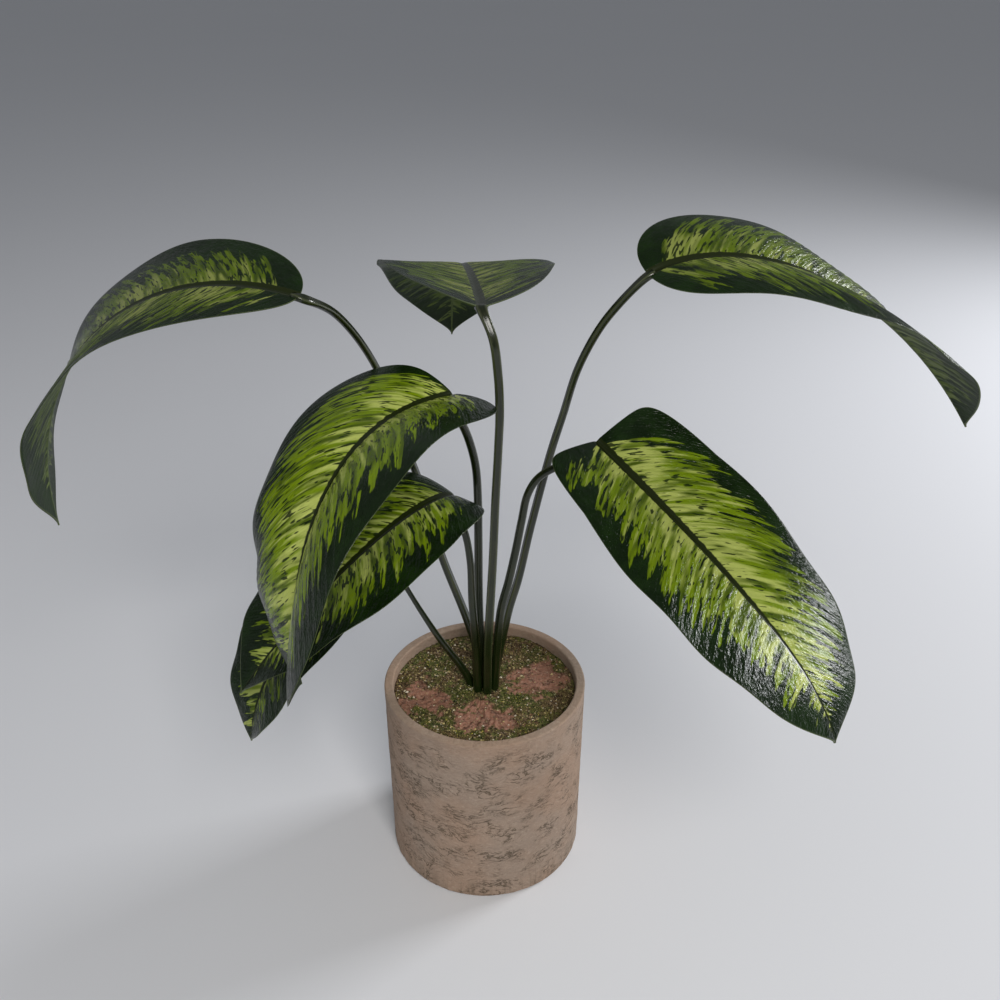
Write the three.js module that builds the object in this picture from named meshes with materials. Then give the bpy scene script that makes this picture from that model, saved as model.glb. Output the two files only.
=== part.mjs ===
// A dumb cane (dieffenbachia) house plant in its round stone-coloured pot.
// Millimetres, +Z up, the pot's foot on Z = 0 and its axis on the Z axis.
// The front of the plant faces -Y. Blades, stalks, cane, soil and pot are separate solids,
// about 0.3 mm apart where they touch on the real plant.

import * as THREE from "three";

const GAP = 0.3; // clearance between pieces that touch

// Pot: a straight-sided planter with a hair of draft
const POT_HEIGHT = 160;
const POT_RIM_RADIUS = 80;
const POT_FOOT_RADIUS = 78.6;
const POT_WALL = 7.3;
const POT_FLOOR = 12;
const POT_FOOT_ROUND = 3;
const POT_LIP_ROUND = 1.4;
const POT_SEGMENTS = 72;
const ROUND_STEPS = 3;

// Soil: fills the pot to just under the rim, crumbly, heaped a little round the plant
const SOIL_LEVEL = 151;
const SOIL_LUMP = 1.3;
const SOIL_HEAP = 3.5;
const SOIL_HEAP_REACH = 24;
const SOIL_LUMP_SPAN = 6;
const SOIL_RIDGES = 9;
const SOIL_RINGS = [60, 49, 39, 30, 23, 19];
const SOIL_MOUTH_RADIUS = 16; // the hole round the stalks opens a little towards its top

// Cane: the short stem that all the stalks rise from, buried in a plain hole in the soil
const CANE_RADIUS = 10.6;
const CANE_TOP = 144;
const CANE_LENGTH = 34;
const CANE_SIDES = 24;
const CANE_EDGE = 1.5;

// Stalks: six stand in a ring round the seventh on top of the cane
const STALK_PITCH = 7.4;
const STALK_RING_TURN = -15;
const STALK_FOOT_RADIUS = 3.5;
const STALK_SIDES = 8;
const STALK_STEPS = 24;
const STALK_TAPER_END = 0.7; // share of a stalk's length by which it has reached its top radius
const KNEE_LENGTH = 7; // the last stretch of a stalk, straight into the blade's midrib

// Blades: shared form, as fractions of each blade's own length and half width
const BLADE_THICKNESS = 0.9;
const VEIN_SWEEP = 0.14; // how far forward the side veins reach at the margin
const VEIN_CURVE = 1.4;
const WIDEST_SKEW = 0.7; // under 1 brings the widest place towards the base
const TIP_TAPER = 0.085; // how far back from its point a blade starts to narrow
const BASE_NECK = 0.04;
const BASE_NECK_LENGTH = 0.08;
const LOBE_LENGTH = 0.16;
const TUCK_LENGTH = 0.16;
const TIP_BLUNT = 0.01;
const RIB_DEPTH = 2.4; // midrib keel under the blade, at the base
const RIB_HALF_WIDTH = 2.6;
const RIB_TAPER = 0.85; // share of its depth that the keel loses by the tip
const MARGIN_WAVE = 1.6;
const MARGIN_WAVES = 3.5;
const BLADE_ROWS = 30;
const HALF_COLUMNS = [0.05, 0.2, 0.4, 0.6, 0.8, 1];
const MIDRIB_STEPS = 120;
const MIDRIB_RUN_BACK = 0.12; // how far the midrib's line is carried back behind the joint

// Each leaf: where its blade begins (mm), then the blade's length and width (mm); heading is the
// way it points, in degrees from +X, and swing how far that turns by the tip; rise is the
// midrib's slope at the base, droop how far it bends down by the tip, and bend the power that
// puts the bend near the base (under 1) or near the tip (over 1); roll tips the left side up,
// from base to tip; fold lifts both halves into a V, from base to tip; arch bows each half down;
// blunt squares the ends (smaller is squarer); lobe sets the base lobes back, and tuck narrows
// the left one, where the stalk of the blade above stands close by. Seat is where the stalk
// meets the midrib: 0 in line with its end, more than 0 from below, at that share of its length.
// The route lists the stalk's way from the soil to the blade.
const LEAVES = [
  {
    name: "left",
    joint: [-111, -48, 493],
    length: 336,
    width: 119,
    heading: 163,
    swing: 6,
    rise: 11,
    droop: 108,
    bend: 1,
    roll: [-16, -18],
    fold: [4, 5],
    arch: 0,
    blunt: 0.7,
    lobe: 0.01,
    tuck: 0,
    ring: 2,
    topRadius: 2.6,
    seat: 0,
    route: [
      [-4, 9, 172], [-13, 13, 206], [-33, 17, 267], [-46, 19, 323],
      [-55, 18, 354], [-73, 11, 421], [-93, -19, 470],
    ],
  },
  {
    name: "back",
    joint: [1, -48, 486],
    length: 290,
    width: 128,
    heading: 95,
    swing: 5,
    rise: -4,
    droop: 88,
    bend: 3.2,
    roll: [2, 2],
    fold: [16, -8],
    arch: 0.04,
    blunt: 0.65,
    lobe: 0.01,
    tuck: 0,
    ring: 5,
    topRadius: 2.9,
    seat: 0,
    route: [
      [3, -11, 200], [7, -19, 283], [9, -29, 338], [11, -42, 384],
      [12, -53, 418], [11, -59, 445], [8, -60, 469],
    ],
  },
  {
    name: "right",
    joint: [108, -5, 493],
    length: 293,
    width: 130,
    heading: 16,
    swing: -22,
    rise: 32,
    droop: 90,
    bend: 0.54,
    roll: [21, -17],
    fold: [13, 22],
    arch: 0.25,
    blunt: 0.57,
    lobe: 0.02,
    tuck: 0,
    ring: 1,
    topRadius: 2.8,
    seat: 0,
    route: [
      [19, 7, 222], [26, 8, 249], [35, 9, 295], [49, 13, 356],
      [57, 14, 385], [66, 12, 420], [79, 7, 451], [91, 1, 471],
    ],
  },
  {
    name: "front_left",
    joint: [-19, -25, 418],
    length: 259,
    width: 158,
    heading: 231,
    swing: 27,
    rise: 10,
    droop: 115,
    bend: 1.54,
    roll: [-7, 63],
    fold: [20, 26],
    arch: 0.36,
    blunt: 0.3,
    lobe: 0,
    tuck: 0.1,
    ring: -1,
    topRadius: 2.9,
    seat: 0.03,
    route: [[-4, 4, 217], [-4, 3, 288], [-4, 2, 322], [-5, 0, 348], [-8, -5, 368], [-13, -13, 388]],
  },
  {
    name: "lower_left",
    joint: [-20, -3, 329],
    length: 218,
    width: 112,
    heading: 236,
    swing: -24,
    rise: 41,
    droop: 88,
    bend: 0.43,
    roll: [-9, 9],
    fold: [8, 18],
    arch: 0.15,
    blunt: 0.58,
    lobe: 0.06,
    tuck: 0.12,
    ring: 4,
    topRadius: 2.6,
    seat: 0.03,
    route: [[-7, -7, 203], [-9, -9, 242], [-10, -9, 277], [-14, -9, 303]],
  },
  {
    name: "lowest",
    joint: [-69, 0, 266],
    length: 186,
    width: 90,
    heading: 234,
    swing: -7,
    rise: 19,
    droop: 101,
    bend: 1.22,
    roll: [-2, 15],
    fold: [15, 13],
    arch: 0.1,
    blunt: 0.55,
    lobe: 0.05,
    tuck: 0,
    ring: 3,
    topRadius: 2.0,
    seat: 0,
    route: [[-16, 3, 165], [-35, 4, 196], [-49, 6, 221], [-60, 7, 243]],
  },
  {
    name: "front_right",
    joint: [79, -12, 377],
    length: 259,
    width: 132,
    heading: 307,
    swing: -9,
    rise: -17,
    droop: 46,
    bend: 6.8,
    roll: [14, -19],
    fold: [21, 0],
    arch: 0.13,
    blunt: 0.43,
    lobe: 0.07,
    tuck: 0,
    ring: 0,
    topRadius: 2.8,
    seat: 0.04,
    route: [
      [13, -4, 229], [19, -6, 258], [24, -8, 286], [28, -10, 312],
      [32, -11, 334], [39, -11, 347], [50, -11, 355], [65, -12, 361],
    ],
  },
];

const potFinish = new THREE.MeshStandardMaterial({ color: 0xb09a86, roughness: 0.8, metalness: 0 });
const soilFinish = new THREE.MeshStandardMaterial({ color: 0x7a5440, roughness: 0.95, metalness: 0 });
const caneFinish = new THREE.MeshStandardMaterial({ color: 0x6d7440, roughness: 0.7, metalness: 0 });
const stalkFinish = new THREE.MeshStandardMaterial({ color: 0x4e6a2c, roughness: 0.4, metalness: 0 });
const bladeFinish = new THREE.MeshStandardMaterial({ color: 0x6c9a2e, roughness: 0.35, metalness: 0 });

const radians = THREE.MathUtils.degToRad;
const mix = THREE.MathUtils.lerp;
const clamp = THREE.MathUtils.clamp;

// A quarter round in a lathe profile, from one angle to another about its own centre.
function round(centreR, centreZ, radius, fromDegrees, toDegrees) {
  const points = [];
  for (let i = 0; i <= ROUND_STEPS; i += 1) {
    const angle = radians(mix(fromDegrees, toDegrees, i / ROUND_STEPS));
    points.push(new THREE.Vector2(centreR + radius * Math.cos(angle), centreZ + radius * Math.sin(angle)));
  }
  return points;
}

// A profile of [radius, height] turned about the Z axis.
function turned(profile, segments) {
  const geometry = new THREE.LatheGeometry(profile, segments);
  geometry.rotateX(Math.PI / 2);
  return geometry;
}

function potGeometry() {
  const innerRadius = POT_RIM_RADIUS - POT_WALL;
  const lip = POT_LIP_ROUND;
  return turned(
    [
      new THREE.Vector2(0, 0),
      ...round(POT_FOOT_RADIUS - POT_FOOT_ROUND, POT_FOOT_ROUND, POT_FOOT_ROUND, -90, 0),
      ...round(POT_RIM_RADIUS - lip, POT_HEIGHT - lip, lip, 0, 90),
      ...round(innerRadius + lip, POT_HEIGHT - lip, lip, 90, 180),
      new THREE.Vector2(innerRadius, POT_FLOOR),
      new THREE.Vector2(0, POT_FLOOR),
    ],
    POT_SEGMENTS,
  );
}

// Height of the soil above its mean level: slow lumps, pinched ridges round the stalks, a low heap.
function soilHeight(x, y) {
  const distance = Math.hypot(x, y);
  const reach = distance / SOIL_HEAP_REACH;
  const broad = Math.sin((x + y / 3) / SOIL_LUMP_SPAN) * Math.sin((y - x / 2) / SOIL_LUMP_SPAN);
  const small = Math.sin((2 * (x - y)) / SOIL_LUMP_SPAN) / 2;
  const ridges = (Math.sin(SOIL_RIDGES * Math.atan2(y, x)) * Math.exp(-reach)) / 2;
  return SOIL_LUMP * (broad + small + ridges) + SOIL_HEAP * Math.exp(-(reach ** 2));
}

function soilGeometry() {
  const outerRadius = POT_RIM_RADIUS - POT_WALL - GAP;
  const holeRadius = STALK_PITCH + STALK_FOOT_RADIUS + GAP;
  const holeFloor = CANE_TOP - CANE_LENGTH - GAP;
  const geometry = turned(
    [
      new THREE.Vector2(0, POT_FLOOR + GAP),
      new THREE.Vector2(outerRadius, POT_FLOOR + GAP),
      new THREE.Vector2(outerRadius, SOIL_LEVEL),
      ...SOIL_RINGS.map((radius) => new THREE.Vector2(radius, SOIL_LEVEL)),
      new THREE.Vector2(SOIL_MOUTH_RADIUS, SOIL_LEVEL),
      new THREE.Vector2(holeRadius, CANE_TOP),
      new THREE.Vector2(holeRadius, holeFloor),
      new THREE.Vector2(0, holeFloor),
    ],
    POT_SEGMENTS,
  );
  const position = geometry.getAttribute("position");
  for (let i = 0; i < position.count; i += 1) {
    if (position.getZ(i) > SOIL_LEVEL - GAP) {
      position.setZ(i, SOIL_LEVEL + soilHeight(position.getX(i), position.getY(i)));
    }
  }
  return geometry;
}

function caneGeometry() {
  const foot = CANE_TOP - CANE_LENGTH;
  return turned(
    [
      new THREE.Vector2(0, foot),
      new THREE.Vector2(CANE_RADIUS - 2 * CANE_EDGE, foot),
      new THREE.Vector2(CANE_RADIUS, foot + 2 * CANE_EDGE),
      new THREE.Vector2(CANE_RADIUS, CANE_TOP - CANE_EDGE),
      new THREE.Vector2(CANE_RADIUS - CANE_EDGE, CANE_TOP),
      new THREE.Vector2(0, CANE_TOP),
    ],
    CANE_SIDES,
  );
}

// Half width of a blade, as a fraction of its widest, at a fraction t of the way to the tip.
function halfWidth(leaf, t) {
  const body = Math.max(0, Math.sin(Math.PI * t ** WIDEST_SKEW)) ** leaf.blunt;
  const taper = 1 - Math.exp((t - 1) / TIP_TAPER);
  const neck = BASE_NECK * Math.max(0, 1 - t / BASE_NECK_LENGTH);
  return Math.hypot(body * taper, neck, TIP_BLUNT);
}

// How far along the midrib the margin lies where the side vein from fraction t meets it.
function marginPlace(leaf, t) {
  const lobes = leaf.lobe * Math.sin(Math.PI * Math.min(t / LOBE_LENGTH, 1));
  return t + VEIN_SWEEP * Math.sin(Math.PI * t) - lobes;
}

// The midrib as a row of frames: place, way along, way across to the left, and up. The slope
// falls by droop and the heading turns by swing from the joint to the tip.
function midribOf(leaf) {
  const step = (1 + MIDRIB_RUN_BACK) / MIDRIB_STEPS;
  const frames = [];
  const place = new THREE.Vector3();
  for (let i = 0; i <= MIDRIB_STEPS; i += 1) {
    const share = i * step - MIDRIB_RUN_BACK;
    const done = Math.max(0, share);
    const slope = radians(leaf.rise - leaf.droop * done ** leaf.bend);
    const heading = radians(leaf.heading + leaf.swing * done);
    const along = new THREE.Vector3(
      Math.cos(slope) * Math.cos(heading),
      Math.cos(slope) * Math.sin(heading),
      Math.sin(slope),
    );
    const across = new THREE.Vector3(-Math.sin(heading), Math.cos(heading), 0);
    across.applyAxisAngle(along, radians(mix(leaf.roll[0], leaf.roll[1], done)));
    frames.push({ share, place: place.clone(), along, across, up: along.clone().cross(across) });
    place.addScaledVector(along, step * leaf.length);
  }
  const shift = new THREE.Vector3(...leaf.joint).sub(frameAt(frames, 0).place);
  frames.forEach((frame) => frame.place.add(shift));
  return frames;
}

// The midrib's frame at a fraction of its length, between the two nearest in the row.
function frameAt(frames, share) {
  const step = frames[1].share - frames[0].share;
  const spot = clamp((share - frames[0].share) / step, 0, frames.length - 1.001);
  const low = frames[Math.floor(spot)];
  const high = frames[Math.floor(spot) + 1];
  const part = spot - Math.floor(spot);
  return {
    place: low.place.clone().lerp(high.place, part),
    along: low.along.clone().lerp(high.along, part).normalize(),
    across: low.across.clone().lerp(high.across, part).normalize(),
    up: low.up.clone().lerp(high.up, part).normalize(),
  };
}

// A point of a blade, a given depth below its upper face: t runs from base to tip and v from -1
// at the right margin to 1 at the left. Both halves rise from the midrib by the fold, then arch over.
function bladePoint(leaf, frames, t, v, depth) {
  const share = t + (marginPlace(leaf, t) - t) * Math.abs(v) ** VEIN_CURVE;
  const half = leaf.width / 2;
  const tuck = v > 0 ? leaf.tuck * Math.exp(-((t / TUCK_LENGTH) ** 2)) : 0;
  const sideways = v * half * halfWidth(leaf, t) * (1 - tuck);
  const fold = radians(mix(leaf.fold[0], leaf.fold[1], clamp(share, 0, 1)));
  const phase = 2 * Math.PI * MARGIN_WAVES * t + 2 * v;
  const wave = MARGIN_WAVE * v ** 2 * Math.sin(phase) * Math.sin(Math.PI * t);
  const lift = Math.abs(sideways) * Math.sin(fold) - (leaf.arch * sideways ** 2) / half + wave;
  const frame = frameAt(frames, share);
  return frame.place
    .addScaledVector(frame.across, sideways * Math.cos(fold))
    .addScaledVector(frame.up, lift - depth);
}

// Depth of the underside at a point: the blade's own thickness and the keel of the midrib.
function bladeDepth(leaf, t, v) {
  const sideways = (v * leaf.width * halfWidth(leaf, t)) / 2;
  return BLADE_THICKNESS + RIB_DEPTH * (1 - RIB_TAPER * t) * Math.exp(-((sideways / RIB_HALF_WIDTH) ** 2));
}

// A blade as one closed solid: the same grid of triangles above and below, joined round the edge.
function bladeGeometry(leaf) {
  const frames = midribOf(leaf);
  const columns = [...HALF_COLUMNS.map((v) => -v).reverse(), 0, ...HALF_COLUMNS];
  const above = [];
  const lower = [];
  for (let i = 0; i <= BLADE_ROWS; i += 1) {
    const t = (1 - Math.cos((Math.PI * i) / BLADE_ROWS)) / 2;
    above.push(columns.map((v) => bladePoint(leaf, frames, t, v, 0)));
    lower.push(columns.map((v) => bladePoint(leaf, frames, t, v, bladeDepth(leaf, t, v))));
  }
  const last = columns.length - 1;
  const triangles = [];
  for (let i = 0; i < BLADE_ROWS; i += 1) {
    for (let j = 0; j < last; j += 1) {
      triangles.push([above[i][j], above[i + 1][j], above[i + 1][j + 1]]);
      triangles.push([above[i][j], above[i + 1][j + 1], above[i][j + 1]]);
      triangles.push([lower[i][j], lower[i + 1][j + 1], lower[i + 1][j]]);
      triangles.push([lower[i][j], lower[i][j + 1], lower[i + 1][j + 1]]);
    }
  }
  const edge = [];
  for (let i = 0; i < BLADE_ROWS; i += 1) edge.push([i, 0]);
  for (let j = 0; j < last; j += 1) edge.push([BLADE_ROWS, j]);
  for (let i = BLADE_ROWS; i > 0; i -= 1) edge.push([i, last]);
  for (let j = last; j > 0; j -= 1) edge.push([0, j]);
  edge.forEach(([i, j], k) => {
    const [iNext, jNext] = edge[(k + 1) % edge.length];
    triangles.push([above[i][j], lower[i][j], lower[iNext][jNext]]);
    triangles.push([above[i][j], lower[iNext][jNext], above[iNext][jNext]]);
  });
  return new THREE.BufferGeometry().setFromPoints(triangles.flat());
}

// Where a stalk stands on the cane: one in the middle and six round it.
function stalkFoot(leaf) {
  const angle = radians(STALK_RING_TURN + 60 * leaf.ring);
  const radius = leaf.ring < 0 ? 0 : STALK_PITCH;
  return new THREE.Vector3(radius * Math.cos(angle), radius * Math.sin(angle), CANE_TOP + GAP);
}

// The end of a stalk: the place where it meets the keel of its blade, the way it runs there, and
// the way its end face looks. It comes in line with the midrib, or slants up from below.
function stalkTop(leaf) {
  const spot = frameAt(midribOf(leaf), leaf.seat);
  if (leaf.seat > 0) {
    const place = spot.place.clone().addScaledVector(spot.up, -BLADE_THICKNESS - RIB_DEPTH - 2 * GAP);
    return { place, way: spot.along.clone().add(spot.up).normalize(), facing: spot.up };
  }
  const depth = (BLADE_THICKNESS + RIB_DEPTH) / 2;
  const place = spot.place.clone().addScaledVector(spot.up, -depth).addScaledVector(spot.along, -GAP);
  return { place, way: spot.along, facing: spot.along };
}

// A stalk: round, tapering rings along its route, from the top of the cane to the blade.
function stalkGeometry(leaf) {
  const top = stalkTop(leaf);
  const knee = top.place.clone().addScaledVector(top.way, -KNEE_LENGTH);
  const foot = stalkFoot(leaf);
  const route = leaf.route.map((point) => new THREE.Vector3(...point));
  const soilShare = (SOIL_LEVEL + SOIL_HEAP - foot.z) / (route[0].z - foot.z);
  const soilLine = foot.clone().lerp(route[0], soilShare);
  const path = new THREE.CatmullRomCurve3([foot, soilLine, ...route, knee, top.place], false, "centripetal");
  const places = path.getSpacedPoints(STALK_STEPS);
  const turns = path.computeFrenetFrames(STALK_STEPS, false);
  const rings = places.map((place, i) => {
    const share = i / STALK_STEPS;
    const radius = mix(STALK_FOOT_RADIUS, leaf.topRadius, Math.min(1, share / STALK_TAPER_END));
    const ring = [];
    for (let k = 0; k < STALK_SIDES; k += 1) {
      const angle = (2 * Math.PI * k) / STALK_SIDES;
      const point = place.clone();
      point.addScaledVector(turns.normals[i], radius * Math.cos(angle));
      point.addScaledVector(turns.binormals[i], radius * Math.sin(angle));
      ring.push(point);
    }
    return ring;
  });
  // the end rings are cut flat: the foot to the cane, the top to the blade
  rings[0].forEach((point) => point.setZ(foot.z));
  rings[STALK_STEPS].forEach((point) => {
    const ahead = point.clone().sub(top.place).dot(top.facing) / top.way.dot(top.facing);
    point.addScaledVector(top.way, -ahead);
  });
  const triangles = [];
  for (let i = 0; i < STALK_STEPS; i += 1) {
    for (let k = 0; k < STALK_SIDES; k += 1) {
      const next = (k + 1) % STALK_SIDES;
      triangles.push([rings[i][k], rings[i][next], rings[i + 1][next]]);
      triangles.push([rings[i][k], rings[i + 1][next], rings[i + 1][k]]);
    }
  }
  for (let k = 1; k < STALK_SIDES - 1; k += 1) {
    triangles.push([rings[0][0], rings[0][k + 1], rings[0][k]]);
    triangles.push([rings[STALK_STEPS][0], rings[STALK_STEPS][k], rings[STALK_STEPS][k + 1]]);
  }
  return new THREE.BufferGeometry().setFromPoints(triangles.flat());
}

const plant = new THREE.Group();

function addPiece(name, geometry, material) {
  const mesh = new THREE.Mesh(geometry, material);
  mesh.name = name;
  plant.add(mesh);
}

addPiece("pot", potGeometry(), potFinish);
addPiece("soil", soilGeometry(), soilFinish);
addPiece("cane", caneGeometry(), caneFinish);
LEAVES.forEach((leaf) => {
  addPiece("stalk_" + leaf.name, stalkGeometry(leaf), stalkFinish);
  addPiece("blade_" + leaf.name, bladeGeometry(leaf), bladeFinish);
});

export default plant;
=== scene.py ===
import math

import bpy
import numpy as np
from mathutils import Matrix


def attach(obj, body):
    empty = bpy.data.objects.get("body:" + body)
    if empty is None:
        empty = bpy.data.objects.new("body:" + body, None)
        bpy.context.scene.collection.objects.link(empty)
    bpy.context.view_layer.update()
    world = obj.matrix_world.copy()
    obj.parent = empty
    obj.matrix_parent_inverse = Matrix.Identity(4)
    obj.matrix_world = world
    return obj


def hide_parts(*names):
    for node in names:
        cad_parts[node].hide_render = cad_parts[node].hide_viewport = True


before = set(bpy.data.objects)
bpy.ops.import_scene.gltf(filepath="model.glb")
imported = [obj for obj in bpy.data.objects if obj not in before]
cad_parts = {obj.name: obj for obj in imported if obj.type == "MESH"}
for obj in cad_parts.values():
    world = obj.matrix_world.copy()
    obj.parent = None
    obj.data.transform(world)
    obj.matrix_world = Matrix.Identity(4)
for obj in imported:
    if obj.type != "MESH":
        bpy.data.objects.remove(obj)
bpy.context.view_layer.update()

# ---------------------------------------------------------------------------------------------
# The studio: a wide pale floor that the pot stands on, lit by one soft light from the upper
# front, a broad weak one from the left and a low one from the right rear that shows the gloss.
# ---------------------------------------------------------------------------------------------

FLOOR_REACH = 30.0
FLOOR_COLOUR = (0.72, 0.73, 0.76, 1)
FLOOR_CLOUD_COLOUR = (0.74, 0.75, 0.78, 1)
AIR_COLOUR = (0.92, 0.95, 1, 1)
AIR_STRENGTH = 0.22
CAMERA_PLACE = (0.0122, -0.690, 0.705)
CAMERA_LOOKS_DOWN = 28.95
CAMERA_LENS_MM = 39.06
CAMERA_SENSOR_MM = 36


def add_node(tree, kind, settings=None, **inputs):
    """A shader node of one kind, its settings, and its inputs by socket name, or by number as in
    _0: a node output is linked in, anything else is set as the socket's value."""
    made = tree.nodes.new(kind)
    for key, value in (settings or {}).items():
        setattr(made, key, value)
    for key, value in inputs.items():
        spot = int(key[1:]) if key[0] == "_" and key[1:].isdigit() else key.replace("_", " ")
        if isinstance(value, bpy.types.NodeSocket):
            tree.links.new(value, made.inputs[spot])
        else:
            made.inputs[spot].default_value = value
    return made


def calculate(tree, operation, a, b=0.0, c=0.0):
    """One arithmetic step on values, as a shader node output."""
    return add_node(tree, "ShaderNodeMath", {"operation": operation}, _0=a, _1=b, _2=c).outputs[0]


def ramp(tree, value, low, high):
    """0 where a value is at or under low, 1 at or over high, and a smooth step between."""
    settings = {"interpolation_type": "SMOOTHSTEP"}
    made = add_node(tree, "ShaderNodeMapRange", settings, Value=value, From_Min=low, From_Max=high)
    return made.outputs[0]


def blend_colours(tree, share, first, second):
    """A colour between two, by a share from 0 to 1."""
    made = add_node(tree, "ShaderNodeMix", {"data_type": "RGBA"})
    for spot, value in ((0, share), (6, first), (7, second)):
        if isinstance(value, bpy.types.NodeSocket):
            tree.links.new(value, made.inputs[spot])
        else:
            made.inputs[spot].default_value = value
    return made.outputs[2]


def speckle(tree, where, scale, detail=2.0, roughness=0.5, distortion=0.0):
    """Smooth random values about 0.5 over a place vector, with features 1 / scale across."""
    made = add_node(tree, "ShaderNodeTexNoise", None, Vector=where, Scale=scale, Detail=detail,
                    Roughness=roughness, Distortion=distortion)
    return made.outputs["Fac"]


def stretched(tree, where, x, y, z):
    """A place vector scaled apart along its three directions."""
    settings = {"operation": "MULTIPLY"}
    return add_node(tree, "ShaderNodeVectorMath", settings, _0=where, _1=(x, y, z)).outputs[0]


def new_finish(name, roughness, specular):
    """A material with one Principled shader; returns the material, its node tree and the shader."""
    material = bpy.data.materials.new(name)
    material.use_nodes = True
    tree = material.node_tree
    shader = tree.nodes["Principled BSDF"]
    shader.inputs["Roughness"].default_value = roughness
    shader.inputs["Specular IOR Level"].default_value = specular
    return material, tree, shader


floor_mesh = bpy.data.meshes.new("studio_floor")
floor_corners = np.array([(-1, -1, 0), (1, -1, 0), (1, 1, 0), (-1, 1, 0)]) * FLOOR_REACH
floor_mesh.from_pydata(floor_corners.tolist(), [], [(0, 1, 2, 3)])
studio_floor = bpy.data.objects.new("studio_floor", floor_mesh)
bpy.context.collection.objects.link(studio_floor)
floor_finish, floor_tree, floor_shader = new_finish("studio_floor", 0.75, 0.3)
floor_place = add_node(floor_tree, "ShaderNodeTexCoord").outputs["Object"]
floor_cloud = speckle(floor_tree, floor_place, 0.7)
floor_colour = blend_colours(floor_tree, floor_cloud, FLOOR_COLOUR, FLOOR_CLOUD_COLOUR)
floor_tree.links.new(floor_colour, floor_shader.inputs["Base Color"])
floor_mesh.materials.append(floor_finish)


def soft_light(name, place, aim, size, power, colour):
    """A square area light at a place, turned towards a point."""
    data = bpy.data.lights.new(name, "AREA")
    data.size = size
    data.energy = power
    data.color = colour
    light = bpy.data.objects.new(name, data)
    way = np.array(aim, float) - np.array(place, float)
    flat = math.hypot(way[0], way[1])
    light.rotation_euler = (math.atan2(flat, -way[2]), 0, math.atan2(way[1], way[0]) - math.pi / 2)
    light.location = place
    bpy.context.collection.objects.link(light)


soft_light("key_light", (0.4, -1.75, 1.75), (0, 0, 0.25), 0.9, 34, (1, 0.97, 0.93))
soft_light("fill_light", (-1.9, -0.9, 1.3), (0, 0, 0.25), 1.6, 3, (0.93, 0.96, 1))
soft_light("side_light", (1.9, 1.0, 0.95), (0.15, -0.1, 0.3), 0.7, 30, (0.97, 0.98, 1))

world = bpy.data.worlds.new("studio_air")
world.use_nodes = True
air = world.node_tree.nodes["Background"]
air.inputs["Color"].default_value = AIR_COLOUR
air.inputs["Strength"].default_value = AIR_STRENGTH
bpy.context.scene.world = world
bpy.context.scene.view_settings.view_transform = "Standard"
bpy.context.scene.view_settings.look = "None"

camera_data = bpy.data.cameras.new("camera")
camera_data.lens = CAMERA_LENS_MM
camera_data.sensor_width = CAMERA_SENSOR_MM
camera_data.clip_end = 100
camera = bpy.data.objects.new("camera", camera_data)
camera.location = CAMERA_PLACE
camera.rotation_euler = (math.radians(90 - CAMERA_LOOKS_DOWN), 0, 0)
bpy.context.collection.objects.link(camera)
bpy.context.scene.camera = camera

# ---------------------------------------------------------------------------------------------
# The pot: a straight round planter cast in a stone mix, pinkish beige, with a smooth rounded rim
# and a rough wall of shallow ragged flakes, like travertine. It stands on its flat foot.
# ---------------------------------------------------------------------------------------------

POT_HEIGHT = 0.160
POT_RIM_RADIUS = 0.080
POT_FOOT_RADIUS = 0.0786
POT_WALL = 0.0073
POT_FLOOR = 0.012
POT_FOOT_ROUND = 0.003
POT_LIP_ROUND = 0.0014
POT_SIDES = 360
POT_STEPS = 90
NOISE_CORNERS = 256
# flakes of the wall: how many per radian and per metre of height, their depth (m), and a seed
FLAKES = ((12, 90, 0.00022, 3), (34, 330, 0.00012, 4))
FLAKES_INSET = 0.00018
FLAKES_FROM_ENDS = 0.0005
SEAM_BLEND = 0.5
RIM_CALM = 0.004


def skin(name, grid):
    """A mesh over a grid of points [row, column, xyz]: each four neighbours make one face. The
    columns join into a loop, and a row drawn to one point is one vertex. Returns the piece and
    which grid points its vertices are."""
    rows, columns = grid.shape[:2]
    index = np.arange(rows * columns).reshape(rows, columns)
    for end in (0, -1):
        if np.ptp(grid[end], axis=0).max() < 1e-7:
            index[end] = index[end, 0]
    far = np.roll(index, -1, axis=1)
    quads = np.stack([index[:-1], far[:-1], far[1:], index[1:]], axis=-1).reshape(-1, 4)
    used, faces = np.unique(quads, return_inverse=True)
    faces = faces.reshape(-1, 4)
    first_pole = faces[:, 0] == faces[:, 1]
    last_pole = faces[:, 2] == faces[:, 3]
    whole = ~(first_pole | last_pole)
    loops = np.concatenate([faces[whole].ravel(), faces[first_pole][:, 1:].ravel(),
                            faces[last_pole][:, :3].ravel()])
    sizes = np.concatenate([np.full(whole.sum(), 4), np.full((~whole).sum(), 3)])
    points = grid.reshape(-1, 3)[used]
    mesh = bpy.data.meshes.new(name)
    mesh.vertices.add(len(points))
    mesh.vertices.foreach_set("co", points.astype(np.float32).ravel())
    mesh.loops.add(len(loops))
    mesh.loops.foreach_set("vertex_index", loops.astype(np.int32))
    mesh.polygons.add(len(sizes))
    starts = np.concatenate([[0], np.cumsum(sizes)[:-1]])
    mesh.polygons.foreach_set("loop_start", starts.astype(np.int32))
    mesh.polygons.foreach_set("use_smooth", np.ones(len(sizes), bool))
    mesh.update(calc_edges=True)
    mesh.validate()
    piece = bpy.data.objects.new(name, mesh)
    bpy.context.collection.objects.link(piece)
    return piece, used


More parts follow.
